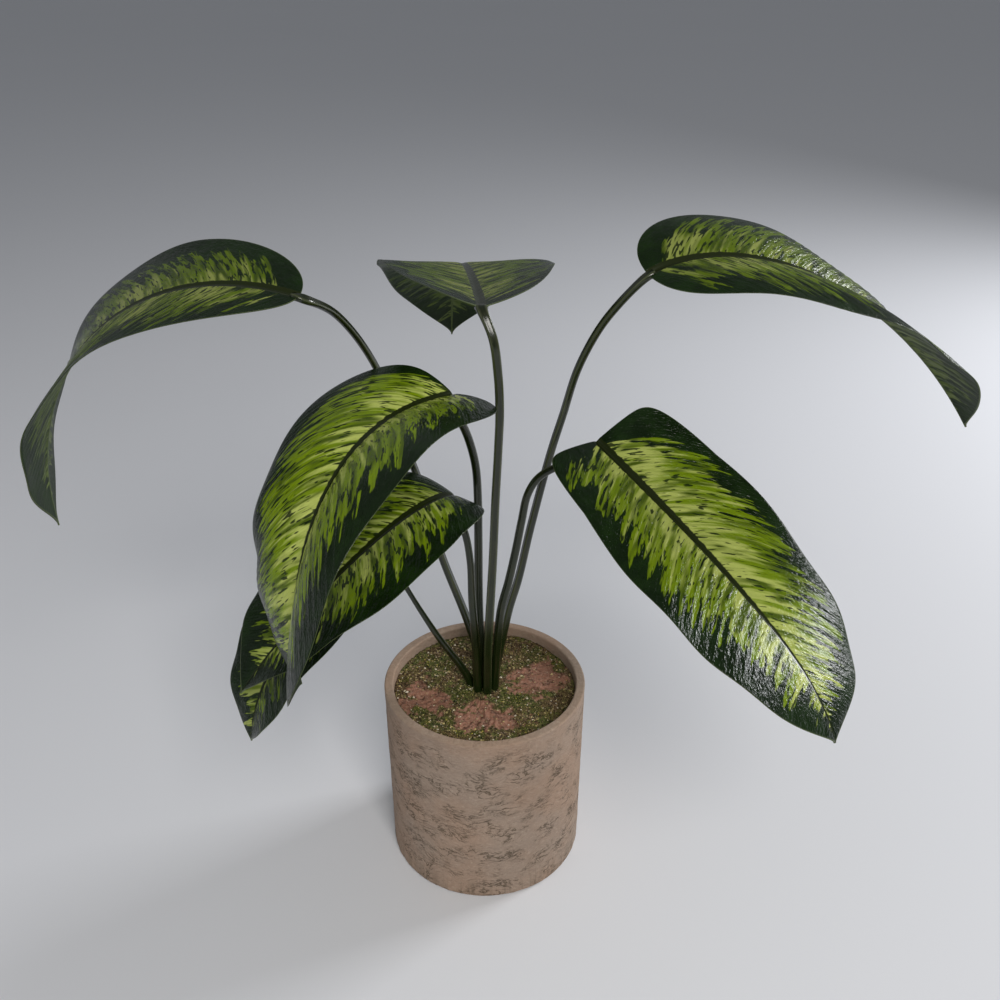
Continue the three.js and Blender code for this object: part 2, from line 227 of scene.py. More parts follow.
def resampled(points, count):
    """A polyline's points carried to an even count along its length."""
    points = np.array(points, float)
    run = np.concatenate([[0], np.cumsum(np.linalg.norm(np.diff(points, axis=0), axis=1))])
    spots = np.linspace(0, run[-1], count)
    return np.stack([np.interp(spots, run, points[:, k]) for k in range(points.shape[1])], axis=1)


def lattice_noise(x, y, seed):
    """Smooth random values from -1 to 1 over two coordinates: seeded random numbers at whole
    number corners, joined by smooth steps between them."""
    table = np.random.default_rng(seed).uniform(-1, 1, (NOISE_CORNERS + 1, NOISE_CORNERS + 1))
    xf, yf = np.floor(x), np.floor(y)
    u, v = x - xf, y - yf
    u, v = u * u * (3 - 2 * u), v * v * (3 - 2 * v)
    i, j = xf.astype(int) % NOISE_CORNERS, yf.astype(int) % NOISE_CORNERS
    low = table[i, j] * (1 - u) + table[i + 1, j] * u
    high = table[i, j + 1] * (1 - u) + table[i + 1, j + 1] * u
    return low * (1 - v) + high * v


def arc(centre_r, centre_z, radius, start, stop):
    """Points [radius, height] of a rounding, from one angle to another in degrees."""
    angles = np.radians(np.linspace(start, stop, 9))
    return np.stack([centre_r + radius * np.cos(angles), centre_z + radius * np.sin(angles)],
                    axis=1)


inner_radius = POT_RIM_RADIUS - POT_WALL
foot = arc(POT_FOOT_RADIUS - POT_FOOT_ROUND, POT_FOOT_ROUND, POT_FOOT_ROUND, -90, 0)
outer_lip = arc(POT_RIM_RADIUS - POT_LIP_ROUND, POT_HEIGHT - POT_LIP_ROUND, POT_LIP_ROUND, 0, 90)
inner_lip = arc(inner_radius + POT_LIP_ROUND, POT_HEIGHT - POT_LIP_ROUND, POT_LIP_ROUND, 90, 180)
wall = resampled([foot[-1], outer_lip[0]], POT_STEPS)[1:-1]
rim = resampled([outer_lip[-1], inner_lip[0]], 6)[1:-1]
inside = resampled([inner_lip[-1], (inner_radius, POT_FLOOR)], 14)[1:]
pot_profile = np.concatenate([[(0, 0)], foot, wall, outer_lip, rim, inner_lip, inside,
                              [(0, POT_FLOOR)]])
turn = np.linspace(0, 2 * np.pi, POT_SIDES, endpoint=False)
pot_r = np.repeat(pot_profile[:, :1], POT_SIDES, axis=1)
pot_z = np.repeat(pot_profile[:, 1:], POT_SIDES, axis=1)
# shallow flakes: two sizes of stretched noise round the wall, blended where the circle closes
seam = np.clip(1 - turn / SEAM_BLEND, 0, 1)[None, :]
flakes = 0
for around_scale, height_scale, depth, seed in FLAKES:
    here = lattice_noise(turn[None, :] * around_scale, pot_z * height_scale, seed)
    past = lattice_noise((turn[None, :] + 2 * np.pi) * around_scale, pot_z * height_scale, seed)
    flakes = flakes + depth * (here * (1 - seam) + past * seam)
outer_wall = (pot_profile[:, 0] > POT_FOOT_RADIUS - POT_FOOT_ROUND - 0.0001)[:, None]
outside = outer_wall & (pot_z > FLAKES_FROM_ENDS)
smooth_rim = np.clip((POT_HEIGHT - FLAKES_FROM_ENDS - pot_z) / RIM_CALM, 0.15, 1)
pot_r = pot_r + np.where(outside, (flakes - FLAKES_INSET) * smooth_rim, 0)
pot_grid = np.stack([pot_r * np.cos(turn), pot_r * np.sin(turn), pot_z], axis=2)
pot, _ = skin("stone_pot", pot_grid)

pot_finish, tree, shader = new_finish("stone_mix", 0.85, 0.25)
place = add_node(tree, "ShaderNodeTexCoord").outputs["Object"]
# the layers in the stone lie level but wander up and down a little
wander = add_node(tree, "ShaderNodeTexNoise", None, Vector=place, Scale=22.0, Detail=2.0)
wander = add_node(tree, "ShaderNodeVectorMath", {"operation": "MULTIPLY_ADD"},
                  _0=wander.outputs["Color"], _1=(0.016, 0.016, 0.028), _2=place).outputs[0]
layers = stretched(tree, wander, 1.0, 1.0, 2.6)
flake_noise = speckle(tree, layers, 75, 6, 0.66, 0.5)
crack = calculate(tree, "ABSOLUTE", calculate(tree, "SUBTRACT", flake_noise, 0.5))
crack_line = calculate(tree, "SUBTRACT", 1.0, ramp(tree, crack, 0.004, 0.036))
height_at = add_node(tree, "ShaderNodeSeparateXYZ", None, Vector=place).outputs["Z"]
near_rim = ramp(tree, height_at, POT_HEIGHT - 0.016, POT_HEIGHT - 0.003)
off_rim = calculate(tree, "SUBTRACT", 1.0, near_rim)
worn = ramp(tree, speckle(tree, stretched(tree, place, 1, 1, 1.5), 48, 4, 0.65), 0.40, 0.62)
worn = calculate(tree, "MULTIPLY", worn, calculate(tree, "MULTIPLY_ADD", off_rim, 0.8, 0.2))
crack_line = calculate(tree, "MULTIPLY", crack_line, worn)
fleck = ramp(tree, speckle(tree, stretched(tree, wander, 1, 1, 2.2), 190, 4, 0.7), 0.58, 0.70)
fleck = calculate(tree, "MULTIPLY", fleck, worn)
cloud = ramp(tree, speckle(tree, place, 16, 3, 0.6), 0.35, 0.68)
colour = blend_colours(tree, cloud, (0.385, 0.268, 0.195, 1), (0.360, 0.275, 0.215, 1))
grain = speckle(tree, layers, 260, 5, 0.75)
colour = blend_colours(tree, calculate(tree, "MULTIPLY", ramp(tree, grain, 0.50, 0.72), 0.6),
                       colour, (0.50, 0.40, 0.31, 1))
pits = calculate(tree, "MULTIPLY_ADD", ramp(tree, grain, 0.28, 0.48), -0.45, 0.45)
colour = blend_colours(tree, pits, colour, (0.20, 0.155, 0.11, 1))
# faint upright scratches round the foot
foot_share = calculate(tree, "SUBTRACT", 1.0, ramp(tree, height_at, 0.006, 0.024))
scratch = ramp(tree, speckle(tree, stretched(tree, place, 1, 1, 0.05), 330, 2, 0.6), 0.46, 0.62)
scratch = calculate(tree, "MULTIPLY", calculate(tree, "MULTIPLY", scratch, foot_share), 0.4)
colour = blend_colours(tree, scratch, colour, (0.17, 0.13, 0.09, 1))
dark = calculate(tree, "MAXIMUM", calculate(tree, "MULTIPLY", crack_line, 0.85),
                 calculate(tree, "MULTIPLY", fleck, 0.75))
colour = blend_colours(tree, dark, colour, (0.095, 0.070, 0.04, 1))
tree.links.new(colour, shader.inputs["Base Color"])
height = calculate(tree, "MULTIPLY_ADD", flake_noise, 1.3, calculate(tree, "MULTIPLY", grain, 1.5))
height = calculate(tree, "SUBTRACT", height, calculate(tree, "MULTIPLY", dark, 0.6))
bump = add_node(tree, "ShaderNodeBump", None, Strength=0.85, Distance=0.0009, Height=height)
tree.links.new(bump.outputs[0], shader.inputs["Normal"])
pot.data.materials.append(pot_finish)
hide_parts("pot")
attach(pot, "root")

# ---------------------------------------------------------------------------------------------
# The soil: one body of potting soil that fills the pot to a centimetre under the rim. Reddish
# patches of bare earth, pinched into folds towards the stalks, lie between growths of moss.
# ---------------------------------------------------------------------------------------------

SOIL_RADIUS = 0.0724
SOIL_LEVEL = 0.151
SOIL_BASE = 0.0123
SOIL_RINGS = 210
SOIL_SIDES = 420
LUMP_HEIGHT = 0.0011
SMALL_LUMP_HEIGHT = 0.0006
CRUMB_HEIGHT = 0.0009
FINE_CRUMB_HEIGHT = 0.0004
FOLD_HEIGHT = 0.0012
FOLDS_PER_RADIAN = 11
HEAP_HEIGHT = 0.0022
HEAP_RADIUS = 0.024
BARE_DEPTH = 0.0006
# places of the bare reddish earth: x, y, radius (m)
BARE_EARTH = ((0.036, 0.010, 0.019), (0.055, 0.004, 0.012), (0.048, 0.024, 0.010),
              (0.004, -0.030, 0.015), (-0.010, -0.043, 0.013), (0.016, -0.042, 0.011),
              (-0.052, -0.006, 0.013), (-0.038, -0.018, 0.012), (-0.060, -0.022, 0.009))


def bare_share(x, y):
    """How bare the earth is, 0 to 1: the sum of soft round spots, with a ragged edge."""
    total = 0
    for cx, cy, radius in BARE_EARTH:
        total = total + np.exp(-((x - cx) ** 2 + (y - cy) ** 2) / radius ** 2)
    total = total + 0.45 * lattice_noise(x * 150, y * 150, 21)
    total = total + 0.3 * lattice_noise(x * 420, y * 420, 22)
    share = np.clip((total - 0.42) / 0.3, 0, 1)
    return share * share * (3 - 2 * share)


def soil_height(x, y):
    """Height above the mean level: slow lumps, crumbs on the moss, folds that run to the stalks
    on the bare earth, and a low heap round the stalks."""
    far = np.hypot(x, y)
    around = np.arctan2(y, x)
    bare = bare_share(x, y)
    lumps = LUMP_HEIGHT * lattice_noise(x * 70, y * 70, 11)
    lumps = lumps + SMALL_LUMP_HEIGHT * lattice_noise(x * 170, y * 170, 12)
    crumbs = np.abs(lattice_noise(x * 420, y * 420, 13)) * CRUMB_HEIGHT
    crumbs = crumbs + lattice_noise(x * 900, y * 900, 14) * FINE_CRUMB_HEIGHT
    bend = around * FOLDS_PER_RADIAN + 1.2 * lattice_noise(x * 60, y * 60, 15)
    folds = FOLD_HEIGHT * (0.5 - np.abs(lattice_noise(bend * 1.3, far * 40, 16)))
    heap = HEAP_HEIGHT * np.exp(-((far / HEAP_RADIUS) ** 2))
    return lumps + heap + crumbs * (1 - 0.65 * bare) + folds * bare - BARE_DEPTH * bare


soil_r = np.linspace(0, SOIL_RADIUS, SOIL_RINGS) ** 0.9 * SOIL_RADIUS ** 0.1
soil_turn = np.linspace(0, 2 * np.pi, SOIL_SIDES, endpoint=False)
top_x = soil_r[:, None] * np.cos(soil_turn)
top_y = soil_r[:, None] * np.sin(soil_turn)
top_z = SOIL_LEVEL + soil_height(top_x, top_y)
top = np.stack([top_x, top_y, top_z], axis=2)[::-1]
side = np.stack([top[0, :, 0], top[0, :, 1], np.full(SOIL_SIDES, SOIL_BASE)], axis=1)
under = np.zeros((SOIL_SIDES, 3))
under[:, 2] = SOIL_BASE
soil, _ = skin("potting_soil", np.concatenate([under[None], side[None], top]))
spots = np.empty(len(soil.data.vertices) * 3, np.float32)
soil.data.vertices.foreach_get("co", spots)
spots = spots.reshape(-1, 3)
bare_values = bare_share(spots[:, 0], spots[:, 1])
bare_attribute = soil.data.attributes.new("bare", "FLOAT", "POINT")
bare_attribute.data.foreach_set("value", bare_values.astype(np.float32))

soil_finish, tree, shader = new_finish("mossy_earth", 0.92, 0.25)
place = add_node(tree, "ShaderNodeTexCoord").outputs["Object"]
bare = add_node(tree, "ShaderNodeAttribute", {"attribute_name": "bare"}).outputs["Fac"]
fine = speckle(tree, place, 520, 5, 0.7)
coarse = speckle(tree, place, 130, 4, 0.65)
clods = speckle(tree, place, 210, 3, 0.6, 0.6)
earth = blend_colours(tree, ramp(tree, clods, 0.34, 0.52), (0.075, 0.032, 0.02, 1),
                      (0.29, 0.135, 0.088, 1))
earth = blend_colours(tree, calculate(tree, "MULTIPLY", ramp(tree, fine, 0.42, 0.66), 0.55), earth,
                      (0.46, 0.28, 0.20, 1))
loam = blend_colours(tree, ramp(tree, fine, 0.38, 0.66), (0.022, 0.014, 0.006, 1),
                     (0.20, 0.13, 0.065, 1))
moss = blend_colours(tree, ramp(tree, fine, 0.36, 0.68), (0.016, 0.022, 0.005, 1),
                     (0.17, 0.18, 0.05, 1))
drift = speckle(tree, place, 38, 2)
mossy = ramp(tree, calculate(tree, "MULTIPLY_ADD", drift, 0.9, coarse), 0.88, 1.04)
ground = blend_colours(tree, mossy, loam, moss)
colour = blend_colours(tree, bare, ground, earth)
tree.links.new(colour, shader.inputs["Base Color"])
bump = add_node(tree, "ShaderNodeBump", None, Strength=0.8, Distance=0.0009,
                Height=calculate(tree, "MULTIPLY_ADD", fine, 1.0, coarse))
tree.links.new(bump.outputs[0], shader.inputs["Normal"])
soil.data.materials.append(soil_finish)
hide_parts("soil")
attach(soil, "root")

# ---------------------------------------------------------------------------------------------
# Grains and moss on the soil: loose pale grains of grit and bark, and short moss shoots, denser
# off the bare earth. Each is a few faces, set into the soil by its foot.
# ---------------------------------------------------------------------------------------------

GRAIN_COUNT = 3400
GRAIN_LEAST = 0.00028
GRAIN_SPREAD = 0.0009
SHOOT_COUNT = 8000
SHOOT_HEIGHTS = (0.0008, 0.0022)
SHOOT_HALF_WIDTHS = (0.00018, 0.0004)
SHOOT_LEANS = (0.1, 1.1)
SHOOT_SET_IN = 0.0002
DRAWS_PER_KEPT = 4


def scattered(count, seed, weight):
    """Seeded random places on the soil disc, kept where a random draw is under weight(x, y)."""
    draw = np.random.default_rng(seed)
    tries = count * DRAWS_PER_KEPT
    radius = (SOIL_RADIUS - 0.0012) * np.sqrt(draw.uniform(0.02, 1, tries))
    angle = draw.uniform(0, 2 * np.pi, tries)
    x, y = radius * np.cos(angle), radius * np.sin(angle)
    keep = draw.uniform(0, 1, tries) < weight(x, y)
    return x[keep][:count], y[keep][:count], draw


def mesh_from(name, points, faces, tone):
    """One mesh from points and triangles, with a tone value for each point."""
    mesh = bpy.data.meshes.new(name)
    mesh.from_pydata(points.reshape(-1, 3).tolist(), [], faces.tolist())
    values = mesh.attributes.new("tone", "FLOAT", "POINT")
    values.data.foreach_set("value", tone.astype(np.float32).ravel())
    piece = bpy.data.objects.new(name, mesh)
    bpy.context.collection.objects.link(piece)
    return piece


gx, gy, draw = scattered(GRAIN_COUNT, 31, lambda x, y: 0.25 + 0.75 * (1 - bare_share(x, y)))
count = len(gx)
# a grain is a lopsided eight-sided stone: six corners pushed out by random lengths
corners = np.array([(1, 0, 0), (0, 1, 0), (-1, 0, 0), (0, -1, 0), (0, 0, 1), (0, 0, -1)], float)
shell = np.array([(0, 1, 4), (1, 2, 4), (2, 3, 4), (3, 0, 4),
                  (1, 0, 5), (2, 1, 5), (3, 2, 5), (0, 3, 5)])
size = GRAIN_LEAST + GRAIN_SPREAD * draw.uniform(0, 1, count) ** 3
push = draw.uniform(0.6, 1.35, (count, 6, 1))
spin = draw.uniform(0, 2 * np.pi, count)
stone = corners[None] * push * size[:, None, None]
turned_x = stone[..., 0] * np.cos(spin)[:, None] - stone[..., 1] * np.sin(spin)[:, None]
turned_y = stone[..., 0] * np.sin(spin)[:, None] + stone[..., 1] * np.cos(spin)[:, None]
ground_z = SOIL_LEVEL + soil_height(gx, gy)
grain_points = np.stack([turned_x + gx[:, None], turned_y + gy[:, None],
                         stone[..., 2] * 0.8 + (ground_z + 0.2 * size)[:, None]], axis=2)
grain_faces = (shell[None] + 6 * np.arange(count)[:, None, None]).reshape(-1, 3)
grain_tone = np.repeat(draw.uniform(0, 1, count), 6)
grains = mesh_from("soil_grains", grain_points, grain_faces, grain_tone)

grain_finish, tree, shader = new_finish("grit_and_bark", 0.7, 0.35)
tone = add_node(tree, "ShaderNodeAttribute", {"attribute_name": "tone"}).outputs["Fac"]
place = add_node(tree, "ShaderNodeTexCoord").outputs["Object"]
colour = blend_colours(tree, ramp(tree, tone, 0.0, 0.5), (0.10, 0.055, 0.03, 1),
                       (0.36, 0.27, 0.15, 1))
colour = blend_colours(tree, ramp(tree, tone, 0.5, 0.8), colour, (0.62, 0.50, 0.20, 1))
colour = blend_colours(tree, ramp(tree, tone, 0.8, 0.92), colour, (0.80, 0.72, 0.56, 1))
dust = calculate(tree, "MULTIPLY", speckle(tree, place, 900, 2), 0.4)
colour = blend_colours(tree, dust, colour, (0.12, 0.08, 0.04, 1))
tree.links.new(colour, shader.inputs["Base Color"])
grains.data.materials.append(grain_finish)
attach(grains, "root")

# moss shoots: each a narrow leaf of two faces, leaning any way, 0.8 to 2.2 mm high
mx, my, draw = scattered(SHOOT_COUNT, 32, lambda x, y: (1 - bare_share(x, y)) * np.clip(
    0.4 + 1.1 * lattice_noise(x * 110, y * 110, 41), 0.05, 1))
count = len(mx)
lean = draw.uniform(0, 2 * np.pi, count)
tall = draw.uniform(*SHOOT_HEIGHTS, count)
wide = draw.uniform(*SHOOT_HALF_WIDTHS, count)
tilt = draw.uniform(*SHOOT_LEANS, count)
along = np.stack([np.cos(lean) * np.sin(tilt), np.sin(lean) * np.sin(tilt), np.cos(tilt)], axis=1)
across = np.stack([-np.sin(lean), np.cos(lean), np.zeros(count)], axis=1)
root = np.stack([mx, my, SOIL_LEVEL + soil_height(mx, my) - SHOOT_SET_IN], axis=1)
middle = root + along * (tall * 0.55)[:, None]
shoot_points = np.stack([root, middle + across * wide[:, None], root + along * tall[:, None],
                         middle - across * wide[:, None]], axis=1)
shoot_faces = np.array([(0, 1, 2), (0, 2, 3)])[None] + 4 * np.arange(count)[:, None, None]
shoot_tone = np.repeat(np.clip(draw.normal(0.5, 0.22, count), 0, 1), 4)
shoots = mesh_from("moss_shoots", shoot_points, shoot_faces.reshape(-1, 3), shoot_tone)

moss_finish, tree, shader = new_finish("moss", 0.75, 0.3)
tone = add_node(tree, "ShaderNodeAttribute", {"attribute_name": "tone"}).outputs["Fac"]
place = add_node(tree, "ShaderNodeTexCoord").outputs["Object"]
drift = speckle(tree, place, 45, 2)
green = blend_colours(tree, tone, (0.018, 0.026, 0.005, 1), (0.22, 0.225, 0.035, 1))
green = blend_colours(tree, ramp(tree, tone, 0.8, 0.95), green, (0.72, 0.62, 0.07, 1))
dry = blend_colours(tree, tone, (0.035, 0.026, 0.01, 1), (0.33, 0.25, 0.10, 1))
colour = blend_colours(tree, ramp(tree, drift, 0.42, 0.58), green, dry)
tree.links.new(colour, shader.inputs["Base Color"])
shoots.data.materials.append(moss_finish)
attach(shoots, "root")

# ---------------------------------------------------------------------------------------------
# The stalks: seven smooth dark olive stalks that rise in a tight bunch from the cane in the soil
# and bend over into the midribs of their blades. Each has a shallow groove whose edges are paler,
# partly in their own colour and partly by a painted highlight.
# ---------------------------------------------------------------------------------------------

# lengths in metres, the ring's turn in degrees, the taper's end, flare and run back as shares
CANE_TOP = 0.144
STALK_PITCH = 0.0074
STALK_RING_TURN = -15
STALK_FOOT_RADIUS = 0.0035
STALK_TAPER_END = 0.7
STALK_FLARE = 0.55
KNEE_LENGTH = 0.007
BLADE_THICKNESS = 0.0009
RIB_DEPTH = 0.0024
MIDRIB_RUN_BACK = 0.12
MIDRIB_STEPS = 120
STALK_SIDES = 28
STALK_STEPS = 170
SPAN_STEPS = 60
STALK_SOIL_COLLAR = 0.0035
STALK_SET_IN = 0.004
# the groove along a stalk and the ridges on its edges: shares of the radius, and angles (radians)
GROOVE_DEPTH = 0.2
GROOVE_SPREAD = 0.42
RIDGE_HEIGHT = 0.07
RIDGE_ANGLE = 0.85
RIDGE_SPREAD = 0.25
FLARE_START = 0.94

# each leaf, in millimetres and degrees: where the blade begins, its length and width, the way it
# points and turns, its slope, how far it bends down and where, its roll, its fold, its arch, how
# square its ends are, its base lobes, where its stalk joins, the stalk's route from the soil, and
# for the pattern how wide its dark margin is and how pale its heart, and last how much of its
# lime's brightness painted shade leaves (1 is no painted shade)
LEAVES = (
    {"name": "left", "joint": (-111, -48, 493), "length": 336, "width": 119, "heading": 163,
     "swing": 6, "rise": 11, "droop": 108, "bend": 1, "roll": (-16, -18), "fold": (4, 5), "arch": 0,
     "blunt": 0.7, "lobe": 0.01, "tuck": 0, "ring": 2, "top": 2.6, "seat": 0,
     "route": ((-4, 9, 172), (-13, 13, 206), (-33, 17, 267), (-46, 19, 323), (-55, 18, 354),
               (-73, 11, 421), (-93, -19, 470)),
     "band": 15, "pale": 0.5, "painted_light_on_lime": 0.52},
    {"name": "back", "joint": (1, -48, 486), "length": 290, "width": 128, "heading": 95,
     "swing": 5, "rise": -4, "droop": 88, "bend": 3.2, "roll": (2, 2), "fold": (16, -8),
     "arch": 0.04, "blunt": 0.65, "lobe": 0.01, "tuck": 0, "ring": 5, "top": 2.9, "seat": 0,
     "route": ((3, -11, 200), (7, -19, 283), (9, -29, 338), (11, -42, 384), (12, -53, 418),
               (11, -59, 445), (8, -60, 469)),
     "band": 9, "pale": 0.5, "painted_light_on_lime": 0.42},
    {"name": "right", "joint": (108, -5, 493), "length": 293, "width": 130, "heading": 16,
     "swing": -22, "rise": 32, "droop": 90, "bend": 0.54, "roll": (21, -17), "fold": (13, 22),
     "arch": 0.25, "blunt": 0.57, "lobe": 0.02, "tuck": 0, "ring": 1, "top": 2.8, "seat": 0,
     "route": ((19, 7, 222), (26, 8, 249), (35, 9, 295), (49, 13, 356), (57, 14, 385),
               (66, 12, 420), (79, 7, 451), (91, 1, 471)),
     "band": 15, "pale": 0.5, "painted_light_on_lime": 0.52},
    {"name": "front_left", "joint": (-19, -25, 418), "length": 259, "width": 158, "heading": 231,
     "swing": 27, "rise": 10, "droop": 115, "bend": 1.54, "roll": (-7, 63), "fold": (20, 26),
     "arch": 0.36, "blunt": 0.3, "lobe": 0, "tuck": 0.1, "ring": -1, "top": 2.9, "seat": 0.03,
     "route": ((-4, 4, 217), (-4, 3, 288), (-4, 2, 322), (-5, 0, 348), (-8, -5, 368),
               (-13, -13, 388)),
     "band": 18, "pale": 0.7, "painted_light_on_lime": 1},
    {"name": "lower_left", "joint": (-20, -3, 329), "length": 218, "width": 112, "heading": 236,
     "swing": -24, "rise": 41, "droop": 88, "bend": 0.43, "roll": (-9, 9), "fold": (8, 18),
     "arch": 0.15, "blunt": 0.58, "lobe": 0.06, "tuck": 0.12, "ring": 4, "top": 2.6, "seat": 0.03,
     "route": ((-7, -7, 203), (-9, -9, 242), (-10, -9, 277), (-14, -9, 303)),
     "band": 14, "pale": 0.55, "painted_light_on_lime": 0.95},
    {"name": "lowest", "joint": (-69, 0, 266), "length": 186, "width": 90, "heading": 234,
     "swing": -7, "rise": 19, "droop": 101, "bend": 1.22, "roll": (-2, 15), "fold": (15, 13),
     "arch": 0.1, "blunt": 0.55, "lobe": 0.05, "tuck": 0, "ring": 3, "top": 2, "seat": 0,
     "route": ((-16, 3, 165), (-35, 4, 196), (-49, 6, 221), (-60, 7, 243)),
     "band": 10, "pale": 0.4, "painted_light_on_lime": 0.75},
    {"name": "front_right", "joint": (79, -12, 377), "length": 259, "width": 132, "heading": 307,
     "swing": -9, "rise": -17, "droop": 46, "bend": 6.8, "roll": (14, -19), "fold": (21, 0),
     "arch": 0.13, "blunt": 0.43, "lobe": 0.07, "tuck": 0, "ring": 0, "top": 2.8, "seat": 0.04,
     "route": ((13, -4, 229), (19, -6, 258), (24, -8, 286), (28, -10, 312), (32, -11, 334),
               (39, -11, 347), (50, -11, 355), (65, -12, 361)),
     "band": 13.5, "pale": 1, "painted_light_on_lime": 0.82},
)


def midrib_of(leaf):
    """The midrib as rows of [share, place, along, across, up]: the slope falls by droop and the
    heading turns by swing from joint to tip, and the places are the running sum of the ways."""
    step = (1 + MIDRIB_RUN_BACK) / MIDRIB_STEPS
    share = np.arange(MIDRIB_STEPS + 1) * step - MIDRIB_RUN_BACK
    done = np.maximum(share, 0)
    slope = np.radians(leaf["rise"] - leaf["droop"] * done ** leaf["bend"])
    heading = np.radians(leaf["heading"] + leaf["swing"] * done)
    along = np.stack([np.cos(slope) * np.cos(heading), np.cos(slope) * np.sin(heading),
                      np.sin(slope)], axis=1)
    level = np.stack([-np.sin(heading), np.cos(heading), np.zeros_like(heading)], axis=1)
    roll = np.radians(leaf["roll"][0] + (leaf["roll"][1] - leaf["roll"][0]) * done)[:, None]
    across = level * np.cos(roll) + np.cross(along, level) * np.sin(roll)
    up = np.cross(along, across)
    run = np.cumsum(along[:-1] * step * leaf["length"] / 1000, axis=0)
    place = np.concatenate([np.zeros((1, 3)), run])
    start = np.array([np.interp(0, share, place[:, k]) for k in range(3)])
    place = place + np.array(leaf["joint"]) / 1000 - start
    return share, place, along, across, up


def frame_at(midrib, share, part):
    """One part of the midrib's rows (1 place, 2 along, 3 across, 4 up) at any shares."""
    rows = [np.interp(share, midrib[0], midrib[part][:, k]) for k in range(3)]
    found = np.stack(rows, axis=-1)
    if part == 1:
        return found
    return found / np.linalg.norm(found, axis=-1, keepdims=True)


def smooth_route(points, count):
    """A centripetal Catmull-Rom curve through points, at an even count of places along it: each
    span is a cubic whose end slopes come from the neighbouring spans, weighed by the square
    roots of their lengths."""
    points = np.array(points, float)
    points = np.concatenate([[2 * points[0] - points[1]], points, [2 * points[-1] - points[-2]]])
    gap = np.linalg.norm(np.diff(points, axis=0), axis=1) ** 0.5
    p0, p1, p2, p3 = points[:-3], points[1:-2], points[2:-1], points[3:]
    d0, d1, d2 = gap[:-2, None], gap[1:-1, None], gap[2:, None]
    leave = ((p1 - p0) / d0 - (p2 - p0) / (d0 + d1) + (p2 - p1) / d1) * d1
    arrive = ((p2 - p1) / d1 - (p3 - p1) / (d1 + d2) + (p3 - p2) / d2) * d1
    s = np.linspace(0, 1, SPAN_STEPS)[:, None, None]
    span = (p1 * (1 - 3 * s ** 2 + 2 * s ** 3) + p2 * (3 * s ** 2 - 2 * s ** 3)
            + leave * (s - 2 * s ** 2 + s ** 3) + arrive * (s ** 3 - s ** 2))
    dense = span.transpose(1, 0, 2).reshape(-1, 3)
    return resampled(dense, count)


def stalk_path(leaf):
    """The centre line of a stalk: from the cane through its route to the keel of its blade, which
    it enters in line with the midrib or, where the seat is over 0, slanting up from below."""
    midrib = midrib_of(leaf)
    spot, along, up = (frame_at(midrib, leaf["seat"], part) for part in (1, 2, 4))
    keel = BLADE_THICKNESS + RIB_DEPTH
    if leaf["seat"] > 0:
        way = (along + up) / math.sqrt(2)
        top = spot - up * keel * 0.7
    else:
        way = along
        top = spot - up * keel / 2 + along * STALK_SET_IN
    angle = math.radians(STALK_RING_TURN + 60 * leaf["ring"])
    radius = 0 if leaf["ring"] < 0 else STALK_PITCH
    foot = np.array([radius * math.cos(angle), radius * math.sin(angle), CANE_TOP])
    route = np.array(leaf["route"]) / 1000
    rise = SOIL_LEVEL + STALK_SOIL_COLLAR - CANE_TOP
    soil_line = foot + (route[0] - foot) * rise / (route[0, 2] - CANE_TOP)
    return smooth_route([foot, soil_line, *route, top - way * KNEE_LENGTH, top], STALK_STEPS)


def stalk_grid(leaf):
    """Rings of a stalk: a round section that tapers, with a shallow groove on its upper side and
    a slight ridge on each edge of the groove, and spreads a little sideways into the blade.
    Also the place in the pattern: the share along the stalk, how much ridge, and the side."""
    path = stalk_path(leaf)
    way = np.gradient(path, axis=0)
    way = way / np.linalg.norm(way, axis=1, keepdims=True)
    heading = math.radians(leaf["heading"])
    upper = np.array([-math.cos(heading), -math.sin(heading), 0.8])
    first = upper - way * (way @ upper)[:, None]
    first = first / np.linalg.norm(first, axis=1, keepdims=True)
    second = np.cross(way, first)
    share = np.linspace(0, 1, STALK_STEPS)[:, None]
    foot_radius, top_radius = STALK_FOOT_RADIUS, leaf["top"] / 1000
    thick = foot_radius + (top_radius - foot_radius) * np.minimum(1, share / STALK_TAPER_END)
    around = np.linspace(0, 2 * np.pi, STALK_SIDES, endpoint=False)
    off = np.abs((around + np.pi) % (2 * np.pi) - np.pi)
    groove = GROOVE_DEPTH * np.exp(-((off / GROOVE_SPREAD) ** 2))
    section = 1 - groove + RIDGE_HEIGHT * np.exp(-(((off - RIDGE_ANGLE) / RIDGE_SPREAD) ** 2))
    reach = thick * section[None, :]
    spread = 1 + STALK_FLARE * np.clip((share - FLARE_START) / (1 - FLARE_START), 0, 1) ** 2
    rings = (path[:, None] + first[:, None] * (reach * np.cos(around))[..., None]
             + second[:, None] * (reach * spread * np.sin(around))[..., None])
    ends = [np.repeat(path[k][None, None], STALK_SIDES, axis=1) for k in (0, -1)]
    grid = np.concatenate([ends[0], rings, ends[1]])
    ridge = np.repeat(np.exp(-(((off - RIDGE_ANGLE) / 0.2) ** 2))[None], STALK_STEPS + 2, axis=0)
    run = np.repeat(np.concatenate([[0], share[:, 0], [1]])[:, None], STALK_SIDES, axis=1)
    side = np.repeat(np.abs(around / (2 * np.pi) - 0.5)[None], STALK_STEPS + 2, axis=0)
    return grid, np.stack([run, ridge, side], axis=2)


def store_place(piece, used, values, name):
    """Keeps a grid of three values on a skin's vertices as a vector attribute."""
    kept = values.reshape(-1, 3)[used].astype(np.float32)
    attribute = piece.data.attributes.new(name, "FLOAT_VECTOR", "POINT")
    attribute.data.foreach_set("vector", kept.ravel())


